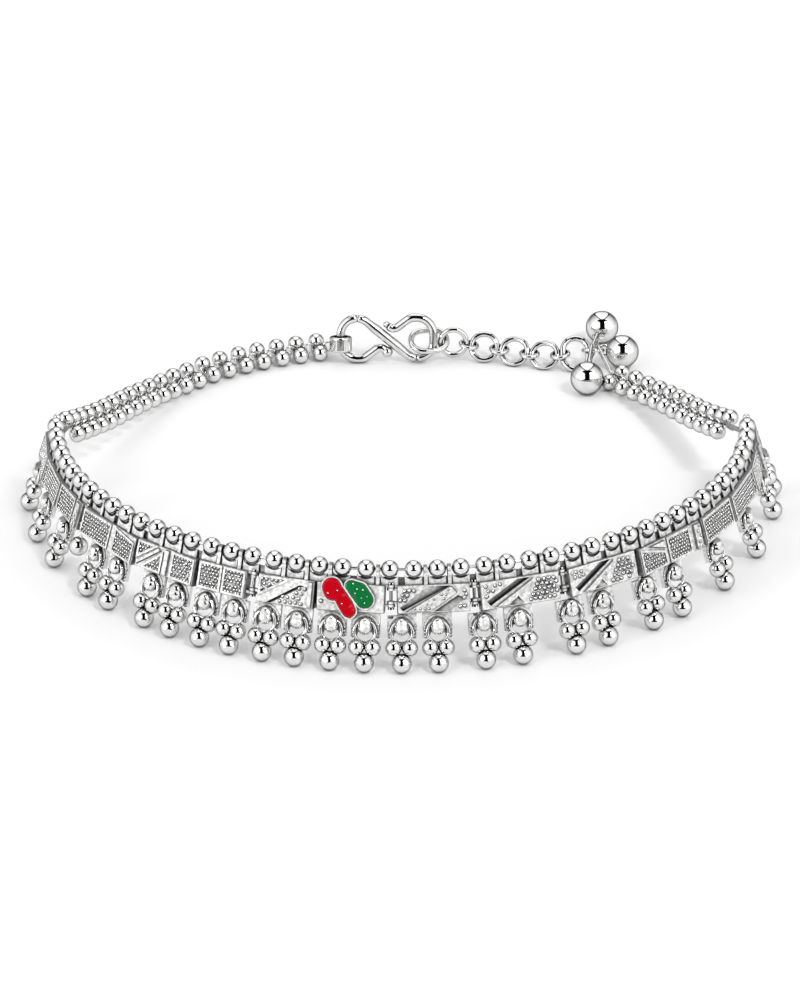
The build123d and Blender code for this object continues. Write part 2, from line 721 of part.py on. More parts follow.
def make_s_hook():
    """The S of round wire with ball tips and a stouter middle."""
    right_half = [Bend(-b.x, -b.y, b.radius) for b in HOOK_HALF]
    with BuildPart() as hook:
        for half in (HOOK_HALF, right_half):
            with BuildLine(HOOK_PLANE) as path:
                rounded_path(half)
            wire = path.wires()[0]
            with BuildSketch(Plane(origin=wire @ 0, z_dir=wire % 0)):
                Circle(HOOK_WIRE / 2)
            sweep(path=wire)
            add_ball(HOOK_PLANE.from_local_coords(Vector(half[0].x, half[0].y, 0)), HOOK_TIP)
        diagonal = Vector(HOOK_HALF[-2].x, HOOK_HALF[-2].y).normalized()
        axis = HOOK_PLANE.from_local_coords(diagonal) - HOOK_CENTRE
        with Locations(Plane(origin=HOOK_CENTRE, z_dir=axis)):
            Cylinder(HOOK_MIDDLE / 2, HOOK_MIDDLE_LENGTH)
        for way in (-1, 1):
            start = HOOK_CENTRE + axis * way * (HOOK_MIDDLE_LENGTH + HOOK_TAPER) / 2
            with Locations(Plane(origin=start, z_dir=axis * way)):
                Cone(HOOK_MIDDLE / 2, HOOK_WIRE / 2 - 0.01, HOOK_TAPER)
    return hook


def make_hook_barrel():
    """Short tube round the left loop of the hook, with a ring for the chain's last pair."""
    centre = HOOK_PLANE.from_local_coords(Vector(HOOK_HALF[3].x, -BARREL_DOWN, 0))
    ring_plane, radius = ring_between(LEFT_STATIONS[-2], LEFT_STATIONS[-1])
    far_side = ring_plane.from_local_coords(Vector(radius, 0, 0))
    wall = (BARREL_OUTER + BARREL_INNER) / 2
    level = centre - HOOK_UP * 0.5
    sideways = far_side - level
    sideways = (sideways - HOOK_UP * sideways.dot(HOOK_UP)).normalized()
    with BuildPart() as barrel:
        with Locations(Plane(origin=centre, z_dir=HOOK_UP)):
            Cylinder(BARREL_OUTER, BARREL_HEIGHT)
        fillet(barrel.edges().filter_by(GeomType.CIRCLE), 0.25)
        add_ring(ring_plane, radius, LINK_WIRE + 0.02)
        add_bar(far_side, level + sideways * wall, 0.5)
        with Locations(Plane(origin=centre, z_dir=HOOK_UP)):
            Cylinder(BARREL_INNER, BARREL_HEIGHT * 2, mode=Mode.SUBTRACT)
    return barrel


# ---------------------------------------------------------------- adjustable chain
HOOK_RING_CENTRE = LOOP_CENTRE + Vector(3.45, 39.75, 2.6)
HOOK_RING_TURN = 12
HOOK_RING_LEAN = 62
HOOK_RING_HALF_LENGTH = 2.3
HOOK_RING_HALF_WIDTH = 1.65
HOOK_RING_WIRE = 0.5
BIG_RING_RADIUS = 1.65
BIG_RING_WIRE = 0.46
JOINER_RADIUS = 1.05
JOINER_WIRE = 0.4
END_RING_HALF_LENGTH = 2.1
END_RING_HALF_WIDTH = 1.6
END_RING_WIRE = 0.55
END_RING_LEAN = 45
HUB_RADIUS = 1.25
HUB_WIRE = 0.44
HUB_LEAN = -65
Place = namedtuple("Place", "x y z")
RingPlace = namedtuple("RingPlace", "x y z lean")
BIG_RINGS = [
    RingPlace(6.55, 39.75, 2.35, 8),
    RingPlace(10.45, 39.65, 1.75, 35),
    RingPlace(14.25, 38.75, 1.50, 42),
    RingPlace(18.05, 37.75, 1.45, 45),
]
END_RING = Place(21.95, 37.35, 1.8)
HUB = Place(24.15, 37.7, 2.2)


def loop_point(place):
    return LOOP_CENTRE + Vector(place.x, place.y, place.z)


def leaning_plane(centre, direction, lean):
    """Plane that contains a direction and leans back from the vertical."""
    flat = Vector(direction.X, direction.Y, 0).normalized()
    back = Vector(-flat.Y, flat.X, 0)
    upwards = UP * cos(radians(lean)) + back * sin(radians(lean))
    return Plane(origin=centre, x_dir=direction, z_dir=direction.cross(upwards))


def make_hook_ring():
    direction = along(HOOK_RING_TURN)
    plane = leaning_plane(HOOK_RING_CENTRE, direction, HOOK_RING_LEAN)
    with BuildPart() as ring:
        add(oval_ring(plane, HOOK_RING_HALF_LENGTH, HOOK_RING_HALF_WIDTH, HOOK_RING_WIRE))
    return ring


def make_end_ring():
    """The oval last ring, long across the chain."""
    plane = leaning_plane(loop_point(END_RING), Vector(1, 0, 0), END_RING_LEAN)
    upright = Plane(origin=plane.origin, x_dir=plane.y_dir, z_dir=plane.z_dir)
    with BuildPart() as ring:
        add(oval_ring(upright, END_RING_HALF_LENGTH, END_RING_HALF_WIDTH, END_RING_WIRE))
    return ring


def make_round_ring(centre, direction, lean, radius, wire):
    with BuildPart() as ring:
        add_ring(leaning_plane(centre, direction, lean), radius, wire)
    return ring


# ---------------------------------------------------------------- ball drops
DROP_BALL = 2.075
DROP_EYE_RADIUS = 0.65
DROP_EYE_WIRE = 0.34
DROP_EYE_OUT = 2.48
DROP_LINK_WIRE = 0.4
CHAIN_END_WIRE = 0.3
CHAIN_END_REACH = 0.58      # the last link passes this far from the middle of the last pair
DROP_LINK_WIDTH = 0.7
DROP_NEAR = 2.62            # from the ball's centre to the near end of its long link
HUB_PASS = 0.55             # the links reach this far past the wire of the hub
BACK_DROP = Place(25.5, 44.94, DROP_BALL)
RIGHT_DROP = Place(27.85, 37.6, DROP_BALL)
FRONT_DROP = Place(23.2, 29.7, DROP_BALL)


def hub_point(turn):
    """Point of the hub's wire; 90 degrees is its front, -90 its back."""
    plane = leaning_plane(loop_point(HUB), Vector(1, 0, 0), HUB_LEAN)
    return plane.from_local_coords(Vector(HUB_RADIUS * cos(radians(turn)),
                                          HUB_RADIUS * sin(radians(turn)), 0))


def make_linked_drop(place, target):
    """A large ball with a soldered eye, and a long link from the eye to the hub."""
    centre = loop_point(place)
    direction = (target - centre).normalized()
    level = direction.cross(UP).normalized()
    eye_plane = Plane(origin=centre + direction * DROP_EYE_OUT, x_dir=direction,
                      z_dir=direction.cross(level))
    with BuildPart() as drop:
        add_ball(centre, DROP_BALL)
        add_ring(eye_plane, DROP_EYE_RADIUS, DROP_EYE_WIRE)
        add(oval_between(centre + direction * DROP_NEAR, target, direction.cross(level),
                         DROP_LINK_WIDTH, DROP_LINK_WIRE, 0, HUB_PASS))
    return drop


def make_direct_drop(place):
    """The large ball whose own eye hangs on the hub."""
    centre = loop_point(place)
    direction = (hub_point(0) - centre).normalized()
    eye_plane = Plane(origin=hub_point(0) - direction * 0.15, x_dir=direction,
                      z_dir=direction.cross(UP))
    with BuildPart() as drop:
        add_ball(centre, DROP_BALL)
        add_ring(eye_plane, 0.7, DROP_EYE_WIRE)
    return drop


def make_chain_end_link():
    """Long link from the right chain's last pair to the hub."""
    last = RIGHT_STATIONS[-2]
    target = hub_point(50)
    across = last.forward.cross(last.pair)
    start = last.middle + last.forward * CHAIN_END_REACH
    with BuildPart() as link:
        add(oval_between(start, target, across, DROP_LINK_WIDTH, CHAIN_END_WIRE, 0, HUB_PASS))
    return link


# ---------------------------------------------------------------- enamel
ENAMEL_PLATE = 7
ENAMEL_RIM = 0.15           # silver rim round each inlay
ENAMEL_RIM_HEIGHT = 0.32
ENAMEL_SEAT = 0.06          # floor of the seats, above the plate's face
ENAMEL_THICK = 0.24
ENAMEL_GAP = 0.05
ENAMEL_ROUNDING = 0.15      # of the inlays' upper edges
Round = namedtuple("Round", "x y radius")
CHERRY_LOBE = [Round(-2.16, -2.26, 1.14), Round(-2.04, -2.74, 1.1)]
CHERRY_POINT = [Round(-1.95, -1.97, 0.73), Round(-0.5, -4.2, 0.9), Round(-0.1, -4.88, 0.83),
                Round(0, -5.34, 0.4)]
BEAN = [Round(0.08, -1.98, 0.7), Round(1.02, -2.47, 0.98), Round(1.66, -3.47, 1.06)]


def enamel_plane(lift):
    """Plane of the enamel plate: origin at the ball row above the plate's middle."""
    return band_plane(middle_angle(PLATES[ENAMEL_PLATE]), 0, PLATE_FRONT + lift)


def rounded_hull(rounds, grow):
    """The outline drawn tightly round a few circles."""
    with BuildSketch(mode=Mode.PRIVATE) as hull:
        for place in rounds:
            with Locations((place.x, place.y)):
                Circle(place.radius + grow)
        make_hull()
    add(hull.sketch)


def cherry_sketch(grow):
    """A round lobe and a second one below it, drawn out to a tip."""
    rounded_hull(CHERRY_LOBE, grow)
    rounded_hull(CHERRY_POINT, grow)


def bean_sketch(grow):
    """A broad bean shape."""
    rounded_hull(BEAN, grow)


def make_enamel(outline):
    plane = enamel_plane(ENAMEL_SEAT + ENAMEL_GAP)
    with BuildPart() as enamel:
        with BuildSketch(plane) as inlay:
            outline(-ENAMEL_GAP)
        extrude(inlay.sketch, amount=ENAMEL_THICK)
        upper_face = enamel.faces().sort_by(Axis(plane.origin, plane.z_dir))[-1]
        fillet(upper_face.edges(), ENAMEL_ROUNDING)
    return enamel


def enamel_seats():
    """Adds the rimmed seats of the two inlays to the enamel plate."""
    for outline in (cherry_sketch, bean_sketch):
        with BuildSketch(enamel_plane(-0.35)) as pad:
            outline(ENAMEL_RIM)
        extrude(pad.sketch, amount=0.35 + ENAMEL_RIM_HEIGHT)
    for outline in (cherry_sketch, bean_sketch):
        with BuildSketch(enamel_plane(ENAMEL_SEAT)) as seat:
            outline(0)
        extrude(seat.sketch, amount=1, mode=Mode.SUBTRACT)


# ---------------------------------------------------------------- parts
os.makedirs("parts", exist_ok=True)


def save(made, name):
    made.part.label = name
    export_step(made.part, f"parts/{name}.step")


tassel_pattern = make_tassel_pattern()
pair_pattern = make_pair_pattern()
for number, plate in enumerate(PLATES, start=1):
    save(make_plate(number - 1), f"plate_{number:02d}")
    save(make_tassels(plate, tassel_pattern), f"tassels_{number:02d}")
save(make_enamel(cherry_sketch), "enamel_red")
save(make_enamel(bean_sketch), "enamel_green")
save(make_hinge_pins(), "hinge_pins")
save(make_top_wire(), "top_wire")
save(make_top_beads(range(BEAD_COUNT // 2)), "top_beads_left")
save(make_top_beads(range(BEAD_COUNT // 2, BEAD_COUNT)), "top_beads_right")
save(make_chain(LEFT_STATIONS, pair_pattern), "chain_left")
save(make_chain(RIGHT_STATIONS, pair_pattern), "chain_right")
save(make_s_hook(), "s_hook")
save(make_hook_barrel(), "hook_barrel")
save(make_hook_ring(), "hook_ring")
ring_places = [loop_point(place) for place in BIG_RINGS]
end_of_end_ring = loop_point(END_RING) - Vector(END_RING_HALF_WIDTH, 0, 0)
for number, place in enumerate(BIG_RINGS):
    centre = ring_places[number]
    before = ring_places[number - 1] if number > 0 else HOOK_RING_CENTRE
    after = ring_places[number + 1] if number < 3 else end_of_end_ring
    save(make_round_ring(centre, (after - before).normalized(), place.lean, BIG_RING_RADIUS, BIG_RING_WIRE),
         f"extender_ring_{number + 1}")
    step = (after - centre).normalized()
    gap_end = after - step * BIG_RING_RADIUS if number < 3 else after
    joint = (centre + step * BIG_RING_RADIUS + gap_end) * 0.5
    save(make_round_ring(joint, step, 90, JOINER_RADIUS, JOINER_WIRE), f"extender_link_{number + 1}")
save(make_end_ring(), "end_ring")
save(make_round_ring(loop_point(HUB), Vector(1, 0, 0), HUB_LEAN, HUB_RADIUS, HUB_WIRE), "hub_ring")
save(make_chain_end_link(), "chain_end_link")
save(make_linked_drop(BACK_DROP, hub_point(-90)), "ball_drop_1")
save(make_direct_drop(RIGHT_DROP), "ball_drop_2")
save(make_linked_drop(FRONT_DROP, hub_point(100)), "ball_drop_3")
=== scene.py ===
"""Looks of a silver payal (anklet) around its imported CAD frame."""
import random
from collections import namedtuple
from math import cos, degrees, hypot, pi, radians, sin, tan

import bmesh
import bpy
import numpy as np
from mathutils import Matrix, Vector


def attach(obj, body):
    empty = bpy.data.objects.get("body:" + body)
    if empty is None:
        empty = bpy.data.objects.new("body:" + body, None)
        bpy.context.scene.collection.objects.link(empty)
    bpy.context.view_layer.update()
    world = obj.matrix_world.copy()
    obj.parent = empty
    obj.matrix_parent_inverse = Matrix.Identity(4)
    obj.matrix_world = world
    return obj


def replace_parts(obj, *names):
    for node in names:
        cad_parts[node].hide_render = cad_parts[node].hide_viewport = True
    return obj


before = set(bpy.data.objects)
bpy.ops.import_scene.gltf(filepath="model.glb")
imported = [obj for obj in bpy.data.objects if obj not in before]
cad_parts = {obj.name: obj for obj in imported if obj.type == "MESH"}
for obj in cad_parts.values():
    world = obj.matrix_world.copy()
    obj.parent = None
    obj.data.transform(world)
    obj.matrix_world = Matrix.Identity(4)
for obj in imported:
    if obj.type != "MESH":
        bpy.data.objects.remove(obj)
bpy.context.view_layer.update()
MM = 0.001
BAND_LEAN = radians(17.5)
TOP_RISE = 1.1


# ---------------------------------------------------------------- node helpers
def new_tree(owner):
    owner.use_nodes = True
    owner.node_tree.nodes.clear()
    return owner.node_tree


def node(tree, kind, **settings):
    made = tree.nodes.new(kind)
    for name, value in settings.items():
        setattr(made, name, value)
    return made


def wire(tree, source, target):
    tree.links.new(source, target)


def feed(tree, socket, value):
    if isinstance(value, bpy.types.NodeSocket):
        wire(tree, value, socket)
    else:
        socket.default_value = value


def math(tree, operation, first, second=0.0, clamp=False):
    made = node(tree, "ShaderNodeMath", operation=operation, use_clamp=clamp)
    feed(tree, made.inputs[0], first)
    feed(tree, made.inputs[1], second)
    return made.outputs[0]


def ramp(tree, value, low, high):
    """0 below low, 1 above high, smooth between."""
    made = node(tree, "ShaderNodeMapRange", interpolation_type="SMOOTHSTEP")
    feed(tree, made.inputs["Value"], value)
    made.inputs["From Min"].default_value = low
    made.inputs["From Max"].default_value = high
    return made.outputs["Result"]


def inverse_ramp(tree, value, low, high):
    """1 below low, 0 above high, smooth between."""
    return math(tree, "SUBTRACT", 1.0, ramp(tree, value, low, high))


def mix(tree, factor, first, second):
    made = node(tree, "ShaderNodeMix", data_type="FLOAT")
    feed(tree, made.inputs["Factor"], factor)
    feed(tree, made.inputs["A"], first)
    feed(tree, made.inputs["B"], second)
    return made.outputs["Result"]


# ---------------------------------------------------------------- studio
WALL_LIGHT = 1.4
SIDE_LIGHT = 0.9
BACK_LIGHT = 0.3
OUTLINE_LIGHT = 0.05        # of the dark edge round the top light
GAP_LIGHT = 0.004           # of the dark gap between the front walls
TOP_HALF_WIDTH = 0.42
TOP_OVER = 129.0            # middle of the top light, in degrees over the object from the front horizon
TOP_HALF_ANGLE = 47.0
GAP_HALF_WIDTH = 0.27
GAP_FOOT = 0.3              # how much wider the gap is at its foot and at its head
GAP_HEAD = 0.22
LAMPS = [(-0.75, -0.6, 0.2), (0.4, -0.45, 0.8)]
LAMP_LIGHT = 30.0
LAMP_OUTER = 6              # degrees from the lamp's middle to where its light starts and is full
LAMP_INNER = 4


def make_world():
    """A light tent: bright front walls with a dark gap, an outlined top light, grey sides and two lamps."""
    world = bpy.data.worlds.new("studio")
    bpy.context.scene.world = world
    tree = new_tree(world)
    place = node(tree, "ShaderNodeTexCoord").outputs["Generated"]
    split = node(tree, "ShaderNodeSeparateXYZ")
    wire(tree, place, split.inputs[0])
    x, y, z = split.outputs
    aside = math(tree, "ABSOLUTE", x)
    # angle over the object from the front horizon (0) through the zenith (90) to the back (180)
    over = math(tree, "MULTIPLY", math(tree, "ARCTAN2", z, math(tree, "MULTIPLY", y, -1.0)), 180 / pi)
    top_x = math(tree, "DIVIDE", x, TOP_HALF_WIDTH)
    top_y = math(tree, "DIVIDE", math(tree, "SUBTRACT", over, TOP_OVER), TOP_HALF_ANGLE)
    # reach is 1 on the edge of the top light's ellipse
    reach = math(tree, "ADD", math(tree, "MULTIPLY", top_x, top_x), math(tree, "MULTIPLY", top_y, top_y))
    top = inverse_ramp(tree, reach, 0.96, 1.02)
    outline = math(tree, "MULTIPLY", math(tree, "SUBTRACT", 1.0, top), inverse_ramp(tree, reach, 1.3, 1.42))
    gap_foot = math(tree, "MULTIPLY", inverse_ramp(tree, over, 8.0, 20.0), GAP_FOOT)
    gap_head = math(tree, "MULTIPLY", ramp(tree, over, 58.0, 74.0), GAP_HEAD)
    gap_half = math(tree, "ADD", math(tree, "ADD", GAP_HALF_WIDTH, gap_foot), gap_head)
    gap = inverse_ramp(tree, math(tree, "SUBTRACT", aside, gap_half), 0.0, 0.03)
    gap = math(tree, "MULTIPLY", gap, inverse_ramp(tree, over, 80.0, 84.0))
    # the front walls fade to grey sides and a dark back
    wall = mix(tree, ramp(tree, y, -0.25, 0.35), WALL_LIGHT, SIDE_LIGHT)
    wall = mix(tree, ramp(tree, y, 0.35, 0.8), wall, BACK_LIGHT)
    light = mix(tree, top, wall, WALL_LIGHT)
    light = mix(tree, outline, light, OUTLINE_LIGHT)
    light = mix(tree, gap, light, GAP_LIGHT)
    for lamp in LAMPS:
        towards = node(tree, "ShaderNodeVectorMath", operation="DOT_PRODUCT")
        wire(tree, place, towards.inputs[0])
        towards.inputs[1].default_value = Vector(lamp).normalized()
        near = ramp(tree, towards.outputs["Value"], cos(radians(LAMP_OUTER)), cos(radians(LAMP_INNER)))
        light = mix(tree, near, light, LAMP_LIGHT)
    background = node(tree, "ShaderNodeBackground")
    background.inputs["Color"].default_value = (1, 1, 1, 1)
    wire(tree, light, background.inputs["Strength"])
    backdrop = node(tree, "ShaderNodeBackground")
    backdrop.inputs["Color"].default_value = (1, 1, 1, 1)
    seen = node(tree, "ShaderNodeLightPath").outputs["Is Camera Ray"]
    blend = node(tree, "ShaderNodeMixShader")
    wire(tree, seen, blend.inputs[0])
    wire(tree, background.outputs[0], blend.inputs[1])
    wire(tree, backdrop.outputs[0], blend.inputs[2])
    output = node(tree, "ShaderNodeOutputWorld")
    wire(tree, blend.outputs[0], output.inputs["Surface"])


CAMERA_PLACE = Vector((-0.00024, -0.71157, 0.35070))
CAMERA_TARGET = Vector((-0.00024, -0.00083, 0))
FOCAL_LENGTH = 235.6
SENSOR_WIDTH = 36
FLOOR_HALF = 3.0
FLOOR_DOWN = 0.02           # mm that the floor lies below the anklet's lowest point


def make_camera():
    data = bpy.data.cameras.new("camera")
    data.lens = FOCAL_LENGTH
    data.sensor_width = SENSOR_WIDTH
    data.clip_start = 0.05
    data.clip_end = 20
    camera = bpy.data.objects.new("camera", data)
    bpy.context.collection.objects.link(camera)
    camera.location = CAMERA_PLACE
    camera.rotation_euler = (CAMERA_TARGET - CAMERA_PLACE).to_track_quat("-Z", "Y").to_euler()
    bpy.context.scene.camera = camera


def make_floor():
    mesh = bpy.data.meshes.new("floor")
    corners = [(x * FLOOR_HALF, y * FLOOR_HALF, 0) for x, y in ((-1, -1), (1, -1), (1, 1), (-1, 1))]
    mesh.from_pydata(corners, [], [(0, 1, 2, 3)])
    floor = bpy.data.objects.new("floor", mesh)
    bpy.context.collection.objects.link(floor)
    material = bpy.data.materials.new("floor")
    tree = new_tree(material)
    shader = node(tree, "ShaderNodeBsdfPrincipled")
    shader.inputs["Base Color"].default_value = (0.94, 0.94, 0.94, 1)
    shader.inputs["Roughness"].default_value = 0.9
    shader.inputs["Specular IOR Level"].default_value = 0.1
    output = node(tree, "ShaderNodeOutputMaterial")
    wire(tree, shader.outputs[0], output.inputs["Surface"])
    mesh.materials.append(material)
    floor.location.z = -FLOOR_DOWN * MM


# ---------------------------------------------------------------- materials
WARMTH = (1.0, 0.997, 0.992)    # silver's red, green and blue for one tone
DENT_DEPTH = 0.03               # mm, of the finest dents
KNOB_ROUGHNESS = 0.1            # of the polished knobs on the tabs


def silver(name, base, dull, edge, roughness, grain, bump, recess_shade, reach=0.0004, slope_shade=1.0):
    """Silver with a fine unevenness of its tone and surface, and painted shade in its hollows.

    base and dull are its two tones, edge the tint at grazing angles, grain the unevenness's scale,
    recess the tone of the painted shade in hollows that are narrower than reach, and facet the tone of the
    painted shade on the plates' faces that turn away from the band.
    """
    material = bpy.data.materials.new(name)
    tree = new_tree(material)
    shader = node(tree, "ShaderNodeBsdfPrincipled")
    shader.inputs["Metallic"].default_value = 1.0
    shader.inputs["Specular Tint"].default_value = (edge, edge, edge, 1)
    place = node(tree, "ShaderNodeTexCoord").outputs["Object"]
    noise = node(tree, "ShaderNodeTexNoise")
    noise.inputs["Scale"].default_value = grain
    noise.inputs["Detail"].default_value = 3.0
    wire(tree, place, noise.inputs["Vector"])
    rough = node(tree, "ShaderNodeMapRange")
    wire(tree, noise.outputs["Fac"], rough.inputs["Value"])
    rough.inputs["To Min"].default_value = roughness * 0.7
    rough.inputs["To Max"].default_value = roughness * 1.3
    tone = mix(tree, ramp(tree, noise.outputs["Fac"], 0.35, 0.65), base, dull)
    # painted shade: ambient occlusion darkens the tone in hollows and where parts touch, down to recess
    occlusion = node(tree, "ShaderNodeAmbientOcclusion", samples=8)
    occlusion.inputs["Distance"].default_value = reach
    openness = ramp(tree, occlusion.outputs["AO"], 0.3, 0.85)
    tone = math(tree, "MULTIPLY", tone, mix(tree, openness, recess_shade, 1.0))
    gloss = rough.outputs["Result"]
    # painted shade on the faces that turn away from the band
    if slope_shade < 1.0:
        shade, knob = slope_shading(tree, place, slope_shade)
        tone = math(tree, "MULTIPLY", tone, shade)
        gloss = mix(tree, knob, gloss, KNOB_ROUGHNESS)
    wire(tree, gloss, shader.inputs["Roughness"])
    colour = node(tree, "ShaderNodeCombineXYZ")
    for channel, share in zip(colour.inputs, WARMTH):
        wire(tree, math(tree, "MULTIPLY", tone, share), channel)
    wire(tree, colour.outputs[0], shader.inputs["Base Color"])
    dents = node(tree, "ShaderNodeBump")
    dents.inputs["Strength"].default_value = bump
    dents.inputs["Distance"].default_value = DENT_DEPTH * MM
    wire(tree, noise.outputs["Fac"], dents.inputs["Height"])
    wire(tree, dents.outputs["Normal"], shader.inputs["Normal"])
    output = node(tree, "ShaderNodeOutputMaterial")
    wire(tree, shader.outputs[0], output.inputs["Surface"])
    return material


PLATE_FOOT = (5.3, 5.5)         # heights between which the tabs end and the plates begin, in mm
TAB_SLOPE_SHADE = 0.95                # tone of the painted shade on the tabs' faces that turn away from the band


def slope_shading(tree, place, slope_shade):
    """Painted shade: a tone that falls where a face turns away from the band, and a mask of the tabs'
    knobs.
    """
    level = node(tree, "ShaderNodeVectorMath", operation="MULTIPLY")
    wire(tree, place, level.inputs[0])
    level.inputs[1].default_value = (1, 1, 0)
    unit = node(tree, "ShaderNodeVectorMath", operation="NORMALIZE")
    wire(tree, level.outputs["Vector"], unit.inputs[0])
    leaning = node(tree, "ShaderNodeVectorMath", operation="MULTIPLY_ADD")
    wire(tree, unit.outputs["Vector"], leaning.inputs[0])
    leaning.inputs[1].default_value = (cos(BAND_LEAN), cos(BAND_LEAN), 0)
    leaning.inputs[2].default_value = (0, 0, sin(BAND_LEAN))
    facing = node(tree, "ShaderNodeVectorMath", operation="DOT_PRODUCT")
    wire(tree, node(tree, "ShaderNodeNewGeometry").outputs["Normal"], facing.inputs[0])
    wire(tree, leaning.outputs["Vector"], facing.inputs[1])
    spread = node(tree, "ShaderNodeSeparateXYZ")
    wire(tree, unit.outputs["Vector"], spread.inputs[0])
    height = node(tree, "ShaderNodeSeparateXYZ")
    wire(tree, place, height.inputs[0])
    # the plates' lower edge follows the slight rise of the band towards the front
    rise = math(tree, "MULTIPLY", spread.outputs[1], TOP_RISE * MM)
    plate = ramp(tree, math(tree, "ADD", height.outputs[2], rise), PLATE_FOOT[0] * MM, PLATE_FOOT[1] * MM)
    lowest = mix(tree, plate, TAB_SLOPE_SHADE, slope_shade)
    along_band = math(tree, "ABSOLUTE", facing.outputs["Value"])
    turned_away = math(tree, "SUBTRACT", 1.0, ramp(tree, along_band, 0.8, 0.985))
    knob = math(tree, "MULTIPLY", turned_away, math(tree, "SUBTRACT", 1.0, plate))
    return mix(tree, turned_away, 1.0, lowest), knob


CLOUD_GRAIN = 1400
WAVE_GRAIN = 900
WAVE_DEPTH = 0.15               # mm, of the enamel's waves


def enamel(name, base, deep):
    """Glossy fired enamel with a slightly uneven surface and a colour that clouds towards a deeper one."""
    material = bpy.data.materials.new(name)
    tree = new_tree(material)
    shader = node(tree, "ShaderNodeBsdfPrincipled")
    shader.inputs["Roughness"].default_value = 0.06
    place = node(tree, "ShaderNodeTexCoord").outputs["Object"]
    clouds = node(tree, "ShaderNodeTexNoise")
    clouds.inputs["Scale"].default_value = CLOUD_GRAIN
    clouds.inputs["Detail"].default_value = 2.0
    wire(tree, place, clouds.inputs["Vector"])
    tint = node(tree, "ShaderNodeMix", data_type="RGBA")
    wire(tree, clouds.outputs["Fac"], tint.inputs["Factor"])
    tint.inputs["A"].default_value = (*base, 1)
    tint.inputs["B"].default_value = (*deep, 1)
    wire(tree, tint.outputs["Result"], shader.inputs["Base Color"])
    waves = node(tree, "ShaderNodeTexNoise")
    waves.inputs["Scale"].default_value = WAVE_GRAIN
    waves.inputs["Detail"].default_value = 1.0
    wire(tree, place, waves.inputs["Vector"])
    bump = node(tree, "ShaderNodeBump")
    bump.inputs["Strength"].default_value = 1.0
    bump.inputs["Distance"].default_value = WAVE_DEPTH * MM
    wire(tree, waves.outputs["Fac"], bump.inputs["Height"])
    wire(tree, bump.outputs["Normal"], shader.inputs["Normal"])
    output = node(tree, "ShaderNodeOutputMaterial")
    wire(tree, shader.outputs[0], output.inputs["Surface"])
    return material


# each silver carries painted shade in its hollows, down to its recess tone
SILVER = silver("silver", base=0.8, dull=0.74, edge=0.03, roughness=0.03,
                grain=900, bump=0.08, recess_shade=0.2)
WIRE = silver("wire_silver", base=0.76, dull=0.68, edge=0.02, roughness=0.05,
              grain=900, bump=0.25, recess_shade=0.2, reach=0.0006)
# the cast silver also carries painted shade on the plates' faces that turn away from the band
CAST = silver("cast_silver", base=0.95, dull=0.7, edge=0.3, roughness=0.7,
              grain=2200, bump=1.0, recess_shade=0.25, reach=0.0006, slope_shade=0.4)
# a dark silver for painted shade: the shadow discs under the granules and the strip behind the top balls
SHADE_SILVER = silver("shade_silver", base=0.3, dull=0.2, edge=0.1, roughness=0.5,
                grain=2500, bump=0.2, recess_shade=0.5)
RED = enamel("enamel_red", base=(0.56, 0.003, 0.012), deep=(0.44, 0.002, 0.008))
GREEN = enamel("enamel_green", base=(0.008, 0.2, 0.05), deep=(0.003, 0.12, 0.028))
INLAYS = {"enamel_red": RED, "enamel_green": GREEN}

# ---------------------------------------------------------------- the frame's dimensions, in mm and degrees
CENTRE = np.array((-0.04, -0.28, 0.0))
TOP_RADIUS = 41.6
TOP_MEAN_HEIGHT = 10.3
BEAD_PITCH = 2.72
BEAD_COUNT = 48
PLATE_TOP = 1.75
PLATE_HEIGHT = 3.3
PLATE_FRONT = 0.5
PANEL_HEIGHT = 0.3
LOW_BALL = 1.14
RING_OUT = 0.45
TAB_FRONT = 0.1

# How far the clasp's wires stand out from the thinner wires of the frame.
WIRE_GROWTH = {
    "s_hook": 0.13,
    "hook_ring": 0.11,
    "end_ring": 0.1,
    **{f"extender_ring_{k}": 0.11 for k in range(1, 5)},
    **{f"extender_link_{k}": 0.06 for k in range(1, 5)},
}

Plate = namedtuple("Plate", "start end tassels face")
PLATES = [
    Plate(-90.5, -80.5, (-86,), "square"),
    Plate(-80.0, -70.5, (-75,), "square"),
    Plate(-70.0, -61.5, (-66,), "square_and_strip"),
    Plate(-60.0, -46.0, (-55, -49.5), "square_and_wedge"),
    Plate(-45.5, -33.7, (-41.6, -36.6), "hourglass"),
    Plate(-33.1, -24.6, (-31.2, -26.2), "two_squares"),
    Plate(-22.6, -13.5, (-20.9, -15.9), "wings"),
    Plate(-13.1, -2.6, (-10.6, -5.5), "smooth"),
    Plate(-0.7, 10.5, (0.0, 5.4), "wide_ribbon"),
    Plate(12.1, 24.9, (12.4, 18.0), "ribbon"),
    Plate(26.6, 39.0, (26.5, 32.0), "ribbon"),
    Plate(39.8, 54.0, (40.5, 46.5), "leaf_and_square"),
    Plate(55.0, 64.3, (57.5,), "square"),
    Plate(64.8, 76.0, (69.5,), "square"),
    Plate(76.5, 86.5, (83,), "square_and_strip"),
    Plate(87.0, 94.0, (91,), "square"),
]

